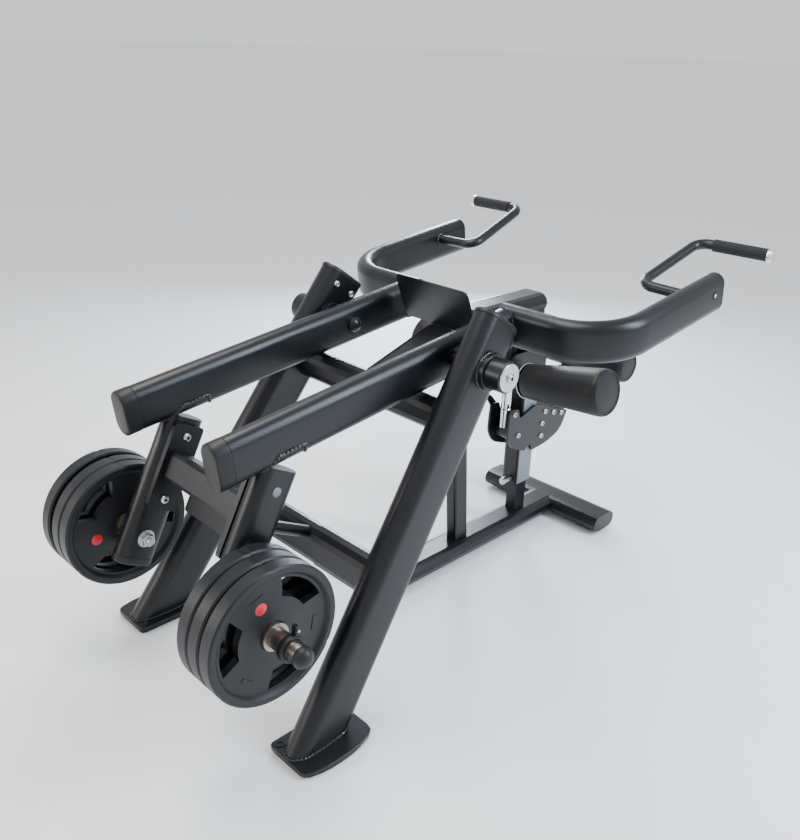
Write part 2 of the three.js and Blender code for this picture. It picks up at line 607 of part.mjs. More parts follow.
// ---- weight plates ------------------------------------------------------------------------
function gripHole(angle) {
  const out = [];
  const spread = 0.52;
  for (let i = 0; i <= 4; i += 1) {
    const a = angle - spread + (2 * spread * i) / 4;
    out.push([143 * Math.cos(a), 143 * Math.sin(a)]);
  }
  for (let i = 0; i <= 4; i += 1) {
    const a = angle + spread * 0.74 - (2 * spread * 0.74 * i) / 4;
    out.push([92 * Math.cos(a), 92 * Math.sin(a)]);
  }
  return polyShape(out);
}
function weightPlate(x, s) {
  const shape = circleShape(PLATE_R, 32);
  shape.holes.push(circleShape(PLATE_HOLE_R, 16));
  [0, 1, 2].map((k) => PLATE_GRIP_TURN + (2 * Math.PI * k) / 3).forEach((a) => shape.holes.push(gripHole(a)));
  return bar(shape, v(s * x, HORN_Y, HORN_Z), v(s * (x + PLATE_T), HORN_Y, HORN_Z), Z_DIR);
}
const plateHub = (x, s) => ring(
  PLATE_HOLE_R + 1, HORN_R + 0.5,
  v(s * (x - 0.5), HORN_Y, HORN_Z), v(s * (x + PLATE_T + 1), HORN_Y, HORN_Z),
);
for (const [side, s, xs] of [['left', -1, PLATE_X_LEFT], ['right', 1, PLATE_X_RIGHT]]) {
  xs.forEach((x, i) => {
    add(`weight_plate_${side}_${i + 1}`, join(weightPlate(x, s), plateHub(x, s)), 'rubber');
  });
}

// ---- spring collars -----------------------------------------------------------------------
for (const [side, s] of SIDES) {
  const xs = [s * 434, s * 448].sort((p, q) => p - q);
  const clamp = ring(33, HORN_R + 1.4, v(s * 432, HORN_Y, HORN_Z), v(s * 450, HORN_Y, HORN_Z), 16);
  const lug = box(...xs, HORN_Y - 22, HORN_Y - 8, HORN_Z + 26, HORN_Z + 54);
  add(`spring_collar_${side}`, join(clamp, lug), 'plastic');
}

export default group;
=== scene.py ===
"""Looks of a plate-loaded lever press machine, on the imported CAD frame. Metres, +Z up."""
import json
import math

import bmesh
import bpy
from mathutils import Matrix, Vector


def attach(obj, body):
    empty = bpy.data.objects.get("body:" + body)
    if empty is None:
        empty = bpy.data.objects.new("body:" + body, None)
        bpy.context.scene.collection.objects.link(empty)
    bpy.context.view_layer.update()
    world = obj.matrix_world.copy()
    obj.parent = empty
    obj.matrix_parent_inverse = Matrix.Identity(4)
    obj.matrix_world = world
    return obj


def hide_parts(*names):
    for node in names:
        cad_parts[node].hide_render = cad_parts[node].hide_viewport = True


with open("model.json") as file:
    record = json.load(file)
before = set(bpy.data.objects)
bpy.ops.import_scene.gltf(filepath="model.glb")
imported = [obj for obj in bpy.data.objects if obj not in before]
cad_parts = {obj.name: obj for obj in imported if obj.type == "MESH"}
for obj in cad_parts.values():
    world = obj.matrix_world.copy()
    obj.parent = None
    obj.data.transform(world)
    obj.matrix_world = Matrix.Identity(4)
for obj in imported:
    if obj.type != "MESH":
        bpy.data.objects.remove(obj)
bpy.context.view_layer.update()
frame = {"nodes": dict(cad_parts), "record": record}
NODES = frame["nodes"]

FRAME_Y = 0.06534          # lever pivot axis, behind the origin
PIVOT_Z = 0.842
TILT = math.radians(7.24)
LEVER_X = 0.200
ARM_X = 0.515
ARM_ROOT = 0.272
ARM_BEND = 0.170
ARM_FRONT = 0.832
LEVER_REAR = 0.722
TUBE = (0.120, 0.060)
HANGER = (0.110, 0.060)
HORN = Vector((0, 0.719 + FRAME_Y, 0.400))
HANGER_DIR = Vector((0, 0.459, -0.888)).normalized()
HANGER_LONG = Vector((0, -HANGER_DIR.z, HANGER_DIR.y))
HANGER_BELOW = 0.066
POST = (0.150, 0.075)
POST_FOOT = Vector((0.372, 0.597 + FRAME_Y, 0.0206))
POST_TOP = Vector((0.304, -0.065 + FRAME_Y, 0.946))
FORWARD = Vector((0, -math.cos(TILT), math.sin(TILT)))
LEVER_UP = Vector((0, math.sin(TILT), math.cos(TILT)))
X, Y, Z = Vector((1, 0, 0)), Vector((0, 1, 0)), Vector((0, 0, 1))
SIDES = (("left", -1), ("right", 1))


# ---- materials -----------------------------------------------------------------------
def material(name, colour, rough, metal=0.0, coat=0.0, grain=600.0, bump=0.1, blotch=6.0,
             rough_spread=0.08, colour_spread=0.25, cells=False, stretch=None, sheen=0.0, specular=0.5):
    mat = bpy.data.materials.new(name)
    mat.use_nodes = True
    tree = mat.node_tree
    nodes, links = tree.nodes, tree.links
    shader = nodes["Principled BSDF"]
    shader.inputs["Metallic"].default_value = metal
    shader.inputs["Coat Weight"].default_value = coat
    shader.inputs["Coat Roughness"].default_value = 0.3
    shader.inputs["Sheen Weight"].default_value = sheen
    shader.inputs["Specular IOR Level"].default_value = specular
    coords = nodes.new("ShaderNodeTexCoord")
    source = coords.outputs["Object"]
    if stretch:
        mapping = nodes.new("ShaderNodeMapping")
        mapping.inputs["Scale"].default_value = stretch
        links.new(source, mapping.inputs["Vector"])
        source = mapping.outputs["Vector"]

    cloud = nodes.new("ShaderNodeTexNoise")
    cloud.inputs["Scale"].default_value = blotch
    cloud.inputs["Detail"].default_value = 6
    links.new(source, cloud.inputs["Vector"])

    mix = nodes.new("ShaderNodeMix")
    mix.data_type = "RGBA"
    mix.inputs["A"].default_value = (*[c * (1 - colour_spread) for c in colour], 1)
    mix.inputs["B"].default_value = (*[min(1, c * (1 + colour_spread)) for c in colour], 1)
    links.new(cloud.outputs["Fac"], mix.inputs["Factor"])
    links.new(mix.outputs["Result"], shader.inputs["Base Color"])

    spread = nodes.new("ShaderNodeMapRange")
    spread.inputs["To Min"].default_value = max(0.02, rough - rough_spread)
    spread.inputs["To Max"].default_value = min(1, rough + rough_spread)
    links.new(cloud.outputs["Fac"], spread.inputs["Value"])
    links.new(spread.outputs["Result"], shader.inputs["Roughness"])

    if cells:
        fine = nodes.new("ShaderNodeTexVoronoi")
        fine.feature = "SMOOTH_F1"
        height = fine.outputs["Distance"]
    else:
        fine = nodes.new("ShaderNodeTexNoise")
        fine.inputs["Detail"].default_value = 3
        height = fine.outputs["Fac"]
    fine.inputs["Scale"].default_value = grain
    links.new(source, fine.inputs["Vector"])
    relief = nodes.new("ShaderNodeBump")
    relief.inputs["Strength"].default_value = bump
    relief.inputs["Distance"].default_value = 0.0006
    links.new(height, relief.inputs["Height"])
    links.new(relief.outputs["Normal"], shader.inputs["Normal"])
    return mat


COAT = material("powder_coat", (0.0042, 0.005, 0.0068), 0.33, coat=0.06, grain=520, bump=0.4,
                specular=0.36)
WELD = material("weld_bead", (0.009, 0.009, 0.010), 0.26, coat=0.2, grain=300, bump=0.5)
PLATE = material("plate_rubber", (0.0075, 0.0085, 0.0105), 0.44, grain=900, bump=0.35, blotch=9,
                 colour_spread=0.4, rough_spread=0.1, specular=0.36)
RUBBER = material("foot_rubber", (0.008, 0.008, 0.008), 0.75, grain=800, bump=0.4)
PLASTIC = material("black_plastic", (0.007, 0.007, 0.008), 0.45, grain=700, bump=0.3, specular=0.38)
VINYL = material("black_vinyl", (0.006, 0.006, 0.0072), 0.48, grain=420, bump=0.55, cells=True,
                 sheen=0.05, specular=0.34)
THREAD = material("pad_thread", (0.028, 0.028, 0.032), 0.7, grain=2000, bump=0.5)
FOAM = material("grip_foam", (0.008, 0.008, 0.009), 0.82, grain=1300, bump=0.7, cells=True)
ZINC = material("zinc_steel", (0.55, 0.55, 0.56), 0.3, metal=1.0, grain=900, bump=0.15)
CHROME = material("chrome", (0.75, 0.75, 0.77), 0.1, metal=1.0, grain=300, bump=0.02,
                  rough_spread=0.04, colour_spread=0.05)
SLEEVE = material("sleeve_steel", (0.30, 0.27, 0.24), 0.3, metal=1.0, grain=700, bump=0.3,
                  stretch=(6, 1, 1))
NYLON = material("grey_nylon", (0.16, 0.18, 0.20), 0.4, grain=500, bump=0.15, blotch=12)
RED = material("red_disc", (0.55, 0.012, 0.02), 0.35, coat=0.3, grain=500, bump=0.1)
ALU = material("aluminium", (0.78, 0.78, 0.77), 0.32, metal=1.0, grain=1200, bump=0.15)
SLOTS = {
    "black_powder_coat": COAT, "black_rubber": RUBBER, "plate_rubber": PLATE,
    "black_plastic": PLASTIC, "grey_nylon": NYLON, "zinc_steel": ZINC, "chrome": CHROME,
    "sleeve_steel": SLEEVE, "black_vinyl": VINYL, "grip_foam": FOAM,
}


# ---- mesh helpers --------------------------------------------------------------------
class Part:
    """Collects shapes into one mesh, each with its own material."""

    def __init__(self):
        self.bm = bmesh.new()
        self.mats = []

    def index(self, mat):
        if mat not in self.mats:
            self.mats.append(mat)
        return self.mats.index(mat)

    def rings(self, rings, mat, closed=False, caps=True):
        made = [[self.bm.verts.new(p) for p in ring] for ring in rings]
        slot = self.index(mat)
        pairs = list(zip(made, made[1:]))
        if closed:
            pairs.append((made[-1], made[0]))
        for a, b in pairs:
            n = len(a)
            for i in range(n):
                face = self.bm.faces.new((a[i], a[(i + 1) % n], b[(i + 1) % n], b[i]))
                face.material_index = slot
        if caps and not closed:
            self.bm.faces.new(list(reversed(made[0]))).material_index = slot
            self.bm.faces.new(made[-1]).material_index = slot

    def turned(self, profile, centre, axis, mat, segments=64, closed=False):
        axis = axis.normalized()
        side = (X if abs(axis.z) > 0.9 else Z).cross(axis).normalized()
        other = axis.cross(side)
        rings = []
        for radius, height in profile:
            ring = []
            for i in range(segments):
                a = 2 * math.pi * i / segments
                around = side * math.cos(a) + other * math.sin(a)
                ring.append(centre + axis * height + around * max(radius, 1e-5))
            rings.append(ring)
        self.rings(rings, mat, closed=closed)

    def finish(self, name, body, replaced, bevel=0.0008, angle=35):
        bmesh.ops.recalc_face_normals(self.bm, faces=self.bm.faces)
        mesh = bpy.data.meshes.new(name)
        self.bm.to_mesh(mesh)
        self.bm.free()
        for mat in self.mats:
            mesh.materials.append(mat)
        mesh.polygons.foreach_set("use_smooth", [True] * len(mesh.polygons))
        mesh.set_sharp_from_angle(angle=math.radians(angle))
        obj = bpy.data.objects.new(name, mesh)
        bpy.context.scene.collection.objects.link(obj)
        if bevel:
            add_bevel(obj, bevel)
        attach(obj, body)
        if replaced:
            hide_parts(*replaced)
        return obj


def add_bevel(obj, width):
    bevel = obj.modifiers.new("edge", "BEVEL")
    bevel.width = width
    bevel.segments = 2
    bevel.limit_method = "ANGLE"
    bevel.angle_limit = math.radians(35)
    bevel.harden_normals = True


def oval(size, n=14):
    r = size[1] / 2
    c = size[0] / 2 - r
    right = [(c + r * math.cos(a), r * math.sin(a))
             for a in (-math.pi / 2 + math.pi * i / n for i in range(n + 1))]
    return right + [(-x, -y) for x, y in right]


def place(profile, centre, long_dir, side, scale=1.0):
    return [centre + long_dir * (x * scale) + side * (y * scale) for x, y in profile]


def frames(points, up):
    out = []
    for i, p in enumerate(points):
        t = (points[min(i + 1, len(points) - 1)] - points[max(i - 1, 0)]).normalized()
        long_dir = (up - t * up.dot(t)).normalized()
        out.append((p, long_dir, t.cross(long_dir)))
    return out


def sweep(part, size, points, up, mat, n=14):
    profile = oval(size, n)
    part.rings([place(profile, *f) for f in frames(points, up)], mat)


def end_cap(part, size, at, direction, up, length, mat, seam=0.001):
    """Moulded cap: a thin seam, a straight wall and a crowned end."""
    profile = oval(size, 14)
    side = direction.cross(up)
    steps = ((0, 0.97), (seam, 0.97), (seam * 1.5, 1.0), (length - 0.006, 1.0),
             (length - 0.0025, 0.975), (length - 0.0006, 0.93), (length, 0.85))
    part.rings([place(profile, at + direction * d, up, side, k) for d, k in steps], mat)


def bead(part, loop, radius=0.0032, count=90):
    """Rippled weld bead round a closed loop of points."""
    lengths = [(loop[(i + 1) % len(loop)] - p).length for i, p in enumerate(loop)]
    total = sum(lengths)
    points = []
    for k in range(count):
        want, i = total * k / count, 0
        while want > lengths[i]:
            want -= lengths[i]
            i += 1
        points.append(loop[i].lerp(loop[(i + 1) % len(loop)], want / lengths[i]))
    middle = sum(points, Vector()) / count
    rings = []
    for k, p in enumerate(points):
        t = (points[(k + 1) % count] - points[k - 1]).normalized()
        out = (p - middle).normalized()
        up = t.cross(out).normalized()
        r = radius * (1 + 0.28 * math.sin(k * 2.1) + 0.12 * math.sin(k * 0.7))
        rings.append([p + out * (r * math.cos(a)) + up * (r * math.sin(a))
                      for a in (2 * math.pi * j / 8 for j in range(8))])
    part.rings(rings, WELD, closed=True)


def screw(part, at, direction, radius=0.010, height=0.006, mat=ZINC):
    """Button head with a hexagon socket."""
    profile = [(radius, 0), (radius, height * 0.3), (radius * 0.9, height * 0.65),
               (radius * 0.62, height), (radius * 0.42, height), (radius * 0.38, height * 0.35),
               (0, height * 0.35)]
    part.turned(profile, at, direction, mat, 24)


def on_lever(x, ahead, up=0.0):
    return Vector((x, FRAME_Y, PIVOT_Z)) + FORWARD * ahead + LEVER_UP * up


def on_hanger(x, down, across=0.0):
    return Vector((x, HORN.y, HORN.z)) + HANGER_DIR * down + HANGER_LONG * across


def arc_path(points, radius, steps=10):
    """Straight runs joined by round bends."""
    out = [points[0]]
    for a, b, c in zip(points, points[1:], points[2:]):
        u, w = (a - b).normalized(), (c - b).normalized()
        half = u.angle(w) / 2
        reach = min(radius / math.tan(half), (a - b).length * 0.49, (c - b).length * 0.98)
        r = reach * math.tan(half)
        centre = b + (u + w).normalized() * (r / math.sin(half))
        start, end = b + u * reach - centre, b + w * reach - centre
        turn = start.angle(end)
        for k in range(steps + 1):
            f = k / steps
            p = (start * math.sin((1 - f) * turn) + end * math.sin(f * turn)) / math.sin(turn)
            out.append(centre + p)
    out.append(points[-1])
    return out


# ---- posts ---------------------------------------------------------------------------
def make_post(side_name, s):
    """One post with its pivot barrel, foot plate and screws, then its top cap."""
    foot = Vector((POST_FOOT.x * s, POST_FOOT.y, POST_FOOT.z))
    top = Vector((POST_TOP.x * s, POST_TOP.y, POST_TOP.z))
    axis = (top - foot).normalized()
    long_dir = X.cross(axis).normalized()
    flat = axis.cross(long_dir)
    profile = oval(POST, 18)
    part = Part()
    low = []
    for p in place(profile, foot, long_dir, flat):
        low.append(p + axis * ((0.0200 - p.z) / axis.z))
    part.rings([low, place(profile, top, long_dir, flat)], COAT)
    bead(part, [p + Vector((0, 0, 0.0008)) for p in low], 0.0042, 120)
    pivot = Vector((0, FRAME_Y, PIVOT_Z))
    outward = X * s
    part.turned([(0.042, 0.262), (0.042, 0.413), (0.0395, 0.4145), (0.022, 0.4145), (0.022, 0.262)],
                pivot, outward, COAT, 72, closed=True)
    part.turned([(0.0415, 0.345), (0.049, 0.345), (0.049, 0.3655), (0.0475, 0.367), (0.0415, 0.367)],
                pivot, outward, COAT, 72, closed=True)
    inner = outward.cross(Z)
    for face_x, r in ((0.3505, 0.0505), (0.276, 0.0440)):
        loop = [pivot + outward * face_x + inner * (r * math.cos(a)) + Z * (r * math.sin(a))
                for a in (2 * math.pi * k / 60 for k in range(60))]
        bead(part, loop, 0.003, 80)
    outline = [(0.308, 0.480), (0.312, 0.470), (0.320, 0.468), (0.420, 0.469), (0.438, 0.474),
               (0.449, 0.492), (0.458, 0.528), (0.461, 0.566), (0.4615, 0.600), (0.459, 0.642),
               (0.452, 0.676), (0.446, 0.688), (0.436, 0.695), (0.320, 0.695), (0.312, 0.692),
               (0.308, 0.684)]
    plate = [Vector((px * s, py + FRAME_Y, 0)) for px, py in outline]
    part.rings([[p + Z * 0.0083 for p in plate], [p + Z * 0.0203 for p in plate]], COAT)
    part.turned([(0.011, 0.0203), (0.011, 0.0225), (0.0075, 0.0230), (0.0065, 0.0208)],
                Vector((0.328 * s, 0.674 + FRAME_Y, 0)), Z, RUBBER, 28)
    for across in (-0.034, 0.034):
        inward = -flat if flat.x * s > 0 else flat
        at = top - axis * 0.030 + long_dir * across + inward * (POST[1] / 2)
        screw(part, at, inward)
    part.finish(f"post_{side_name}_body", "frame", [f"post_{side_name}"])

    cap = Part()
    end_cap(cap, (POST[0] + 0.003, POST[1] + 0.003), top, axis, long_dir, 0.0142, PLASTIC)
    cap.finish(f"post_{side_name}_cap", "frame", [f"post_cap_{side_name}"], 0)


for side_name, s in SIDES:
    make_post(side_name, s)


# ---- levers and arms -----------------------------------------------------------------
def make_lever(side_name, s):
    """One lever with its arm and hand grip."""
    part = Part()
    x = s * LEVER_X
    sweep(part, TUBE, [on_lever(x, -LEVER_REAR + 0.018), on_lever(x, ARM_ROOT - 0.031)], LEVER_UP, COAT)
    end_cap(part, (0.1215, 0.0615), on_lever(x, -LEVER_REAR + 0.018), -FORWARD, LEVER_UP, 0.042, PLASTIC)
    part.turned([(0.030, -0.0306), (0.030, 0.0306), (0.0205, 0.0306), (0.0205, -0.0306)],
                on_lever(x, 0), X, COAT, 48, closed=True)
    part.finish(f"lever_{side_name}_tube", "lever_assembly", [f"lever_{side_name}"])

    part = Part()
    path = arc_path([on_lever(s * 0.170, ARM_ROOT), on_lever(s * ARM_X, ARM_ROOT),
                     on_lever(s * ARM_X, ARM_FRONT - 0.004)], ARM_BEND, 18)
    sweep(part, TUBE, path, LEVER_UP, COAT)
    end_cap(part, (0.1205, 0.0605), path[-1], FORWARD, LEVER_UP, 0.0135, PLASTIC)
    end_cap(part, (0.117, 0.057), path[0], X * -s, LEVER_UP, 0.002, PLASTIC, 0.0003)
    loop = place(oval((0.121, 0.061), 14), on_lever(x, ARM_ROOT - 0.0305), LEVER_UP, X)
    bead(part, loop, 0.0030, 90)
    slot_at = on_lever(s * (ARM_X + 0.0302), ARM_FRONT - 0.045, 0.008)
    recess = [(0.013, 0), (0.013, 0.0008), (0.0085, 0.0012), (0.0075, 0.0002)]
    part.turned(recess, slot_at, X * s, RUBBER, 28)
    screw(part, slot_at, X * s, 0.0062, 0.0035)
    hand = [Vector((px * s, py + FRAME_Y, pz)) for px, py, pz in
            ((0.4846, -0.700, 0.952), (0.335, -0.706, 0.954), (0.362, -0.988, 1.048), (0.589, -1.003, 1.045))]
    rod = arc_path(hand, 0.044, 12)
    ring_profile = [(0.016 * math.cos(2 * math.pi * i / 28), 0.016 * math.sin(2 * math.pi * i / 28))
                    for i in range(28)]
    part.rings([place(ring_profile, *f) for f in frames(rod, Vector((0.12, 0.25, 1)).normalized())], COAT)
    loop = [hand[0] + Y * (0.017 * math.cos(a)) + Z * (0.017 * math.sin(a))
            for a in (2 * math.pi * k / 40 for k in range(40))]
    bead(part, loop, 0.003, 44)
    grip_dir = (hand[3] - hand[2]).normalized()
    part.turned([(0.0, -0.004), (0.0205, -0.004), (0.0208, 0.006), (0.0198, 0.0112), (0.0, 0.0114)],
                hand[3], grip_dir, ALU, 48)
    part.finish(f"arm_{side_name}_tube", "lever_assembly", [f"arm_{side_name}"])

    part = Part()
    profile = [(0.0165, -0.176), (0.0185, -0.176), (0.0197, -0.1735)]
    for k in range(28):
        u = -0.1715 + 0.166 * k / 27
        profile.append((0.0196 - (0.0004 if k % 2 else 0), u))
    profile += [(0.0194, -0.0025), (0.0185, -0.0012), (0.0165, -0.0012)]
    part.turned(profile, hand[3], grip_dir, FOAM, 48, closed=True)
    grip = part.finish(f"grip_{side_name}_foam", "lever_assembly", [f"grip_{side_name}"], 0, 60)


for side_name, s in SIDES:
    make_lever(side_name, s)


# ---- hangers -------------------------------------------------------------------------
def make_hanger(side_name, s):
    """One hanger and its end cap."""
    part = Part()
    x = s * LEVER_X
    sweep(part, HANGER, [on_hanger(x, -0.336), on_hanger(x, HANGER_BELOW - 0.010)], HANGER_LONG, COAT)
    cap_at = on_hanger(x, HANGER_BELOW - 0.010)
    end_cap(part, (0.1115, 0.0615), cap_at, HANGER_DIR, HANGER_LONG, 0.022, PLASTIC)
    under = []
    for p in place(oval((0.112, 0.062), 14), on_hanger(x, -0.30), HANGER_LONG, X):
        drop = (p - on_lever(x, 0)).dot(LEVER_UP)
        limit = -0.0595 + 0.030 - math.sqrt(max(0.0302 ** 2 - (p.x - x) ** 2, 1e-8)) + 0.0005
        under.append(p + HANGER_DIR * ((limit - drop) / HANGER_DIR.dot(LEVER_UP)))
    bead(part, under, 0.0042, 110)
    part.turned([(0.0122, 0), (0.0122, 0.0015), (0.0105, 0.0026), (0, 0.0028)],
                on_hanger(x, -0.283) + X * (s * 0.030), X * s, NYLON, 36)
    part.finish(f"hanger_{side_name}_tube", "lever_assembly", [f"hanger_{side_name}"])


for side_name, s in SIDES:
    make_hanger(side_name, s)


# ---- weight plates -------------------------------------------------------------------
GRIP_TURN = 1.397          # first grip hole, from upright


STICKER_RADIUS = 0.088     # from the plate's axis


def on_plate(s, out, radius, angle):
    """Point at an angle from upright, seen so that both sides mirror."""
    return Vector((s * out, HORN.y - s * radius * math.sin(angle), HORN.z + radius * math.cos(angle)))


def plate_ring(radius, height, s, x, wobble=0.0, count=144):
    ring = []
    for i in range(count):
        a = 2 * math.pi * i / count
        r = radius
        if wobble:
            phase = (a * 3 / (2 * math.pi) + 0.5) % 1.0
            r = radius - (wobble if abs(phase - 0.5) < 0.018 else 0)
        ring.append(Vector((s * (x + height), HORN.y + r * math.sin(a), HORN.z + r * math.cos(a))))
    return ring


def hole_loop(angle, s, x, height, grow=0.0):
    pts = []
    spread = 0.50 + grow * 7
    for k in range(13):
        a = angle - spread + 2 * spread * k / 12
        pts.append((0.141 + grow, a))
    for k in range(13):
        a = angle + spread * 0.80 - 1.6 * spread * k / 12
        pts.append((0.094 - grow, a))
    return [on_plate(s, x + height, r, a) for r, a in pts]


def weight_plate(name, node, x, s, sticker):
    part = Part()
    t = 0.040
    face = [(0.036, 0.0075), (0.060, 0.0075), (0.066, 0.0100), (0.148, 0.0100), (0.153, 0.0020),
            (0.156, 0.0), (0.169, 0.0), (0.1735, 0.004)]
    rings = [plate_ring(r, h, s, x, 0.0022 if r > 0.155 else 0) for r, h in face]
    rings += [plate_ring(r, t - h, s, x, 0.0022 if r > 0.155 else 0) for r, h in reversed(face)]
    part.rings(rings, PLATE, closed=True)
    obj = part.finish(name, "lever_assembly", [node], 0)
    holes = Part()
    for k in range(3):
        a = GRIP_TURN + 2 * math.pi * k / 3
        holes.rings([hole_loop(a, s, x, -0.01), hole_loop(a, s, x, t + 0.01)], PLATE)
    bmesh.ops.recalc_face_normals(holes.bm, faces=holes.bm.faces)
    mesh = bpy.data.meshes.new("cutter")
    holes.bm.to_mesh(mesh)
    holes.bm.free()
    cutter = bpy.data.objects.new("cutter", mesh)
    bpy.context.scene.collection.objects.link(cutter)
    boolean = obj.modifiers.new("holes", "BOOLEAN")
    boolean.operation = "DIFFERENCE"
    boolean.solver = "EXACT"
    boolean.object = cutter
    bpy.context.view_layer.objects.active = obj
    depsgraph = bpy.context.evaluated_depsgraph_get()
    cut_mesh = bpy.data.meshes.new_from_object(obj.evaluated_get(depsgraph))
    obj.modifiers.clear()
    obj.data = cut_mesh
    cut_mesh.polygons.foreach_set("use_smooth", [True] * len(cut_mesh.polygons))
    cut_mesh.set_sharp_from_angle(angle=math.radians(32))
    bpy.data.objects.remove(cutter)
    add_bevel(obj, 0.0022)

    trim = Part()
    trim.turned([(0.0256, -0.0004), (0.0345, -0.0004), (0.0355, 0.004), (0.0355, 0.0355), (0.0345, 0.0402),
                 (0.0256, 0.0402)], Vector((s * x, HORN.y, HORN.z)), X * s, SLEEVE, 56, closed=True)
    for k in range(3):
        a = GRIP_TURN + 2 * math.pi * (k + 0.5) / 3
        corners = ((0.112, a - 0.16), (0.112, a + 0.16), (0.122, a + 0.15), (0.122, a - 0.15))
        lip = [on_plate(s, x + t - 0.0100, r, b) for r, b in corners]
        trim.rings([lip, [p + X * (s * 0.0012) for p in lip]], PLATE)
    if sticker:
        for k in range(3):
            a = GRIP_TURN + 2 * math.pi * (k + 0.5) / 3
            if k in sticker:
                at = on_plate(s, x + t - 0.0102, STICKER_RADIUS, a)
                disc = [(0.0150, 0), (0.0150, 0.0007), (0.0140, 0.0011), (0, 0.0011)]
                trim.turned(disc, at, X * s, RED, 40)
                trim.turned(disc, at - X * (s * (t - 0.0204)), X * -s, RED, 40)
    trim.finish(name + "_trim", "lever_assembly", [], 0)


for side_name, s in SIDES:
    starts = (0.262, 0.305, 0.3495) if s < 0 else (0.262, 0.305, 0.363)
    for k, x in enumerate(starts):
        weight_plate(f"weight_plate_{side_name}_{k + 1}_rubber", f"weight_plate_{side_name}_{k + 1}", x, s,
                     (1,) if s > 0 else (2,))


# ---- horns and collars ---------------------------------------------------------------
def make_horn(side_name, s):
    """The sleeve of one horn and the clamp of its collar."""
    part = Part()
    out = X * s
    base = Vector((0, HORN.y, HORN.z))
    part.turned([(0.010, 0.160), (0.010, 0.2305), (0.040, 0.2305), (0.040, 0.2365), (0.038, 0.238),
                 (0.025, 0.238), (0.025, 0.4775)], base, out, SLEEVE, 64)
    dome = [(0.0255, 0.477), (0.0262, 0.479)]
    for k in range(11):
        a = math.pi / 2 * k / 10
        dome.append((0.0262 * math.cos(a), 0.482 + 0.023 * math.sin(a)))
    part.turned(dome, base, out, PLASTIC, 48)
    nut = [(0.018 * math.cos(math.pi / 3 * k), 0.018 * math.sin(math.pi / 3 * k)) for k in range(6)]
    part.rings([place(nut, base + out * d, Z, Y, k) for d, k in
                ((0.1694, 0.97), (0.1680, 1.0), (0.1545, 1.0), (0.1520, 0.93))], ZINC)
    part.turned([(0.024, 0.1690), (0.024, 0.1698)], base, out, ZINC, 40)
    part.turned([(0.0095, 0.1435), (0.010, 0.145), (0.010, 0.156)], base, out, ZINC, 24)
    part.finish(f"horn_{side_name}_sleeve", "lever_assembly", [f"horn_{side_name}"], 0.0004)

    part = Part()
    clamp = [(0.0254, 0.432), (0.0318, 0.432), (0.033, 0.434), (0.033, 0.448), (0.0318, 0.450),
             (0.0254, 0.450)]
    part.turned(clamp, base, out, PLASTIC, 48, closed=True)
    lug = [(-0.022, 0.027), (-0.008, 0.029), (-0.009, 0.050), (-0.013, 0.054), (-0.020, 0.053)]
    part.rings([[base + out * d + Y * a + Z * b for a, b in lug] for d in (0.434, 0.448)], PLASTIC)
    part.turned([(0.0035, 0), (0.0035, 0.024)], base + out * 0.429 + Y * -0.015 + Z * 0.043, out, ZINC, 20)
    node = f"spring_collar_{side_name}"
    part.finish(f"{node}_clamp", "lever_assembly", [node])


for side_name, s in SIDES:
    make_horn(side_name, s)


# ---- pads ----------------------------------------------------------------------------
ROLLER_Y = -0.529 + FRAME_Y
PIPING = 0.0022            # radius of the piped seam


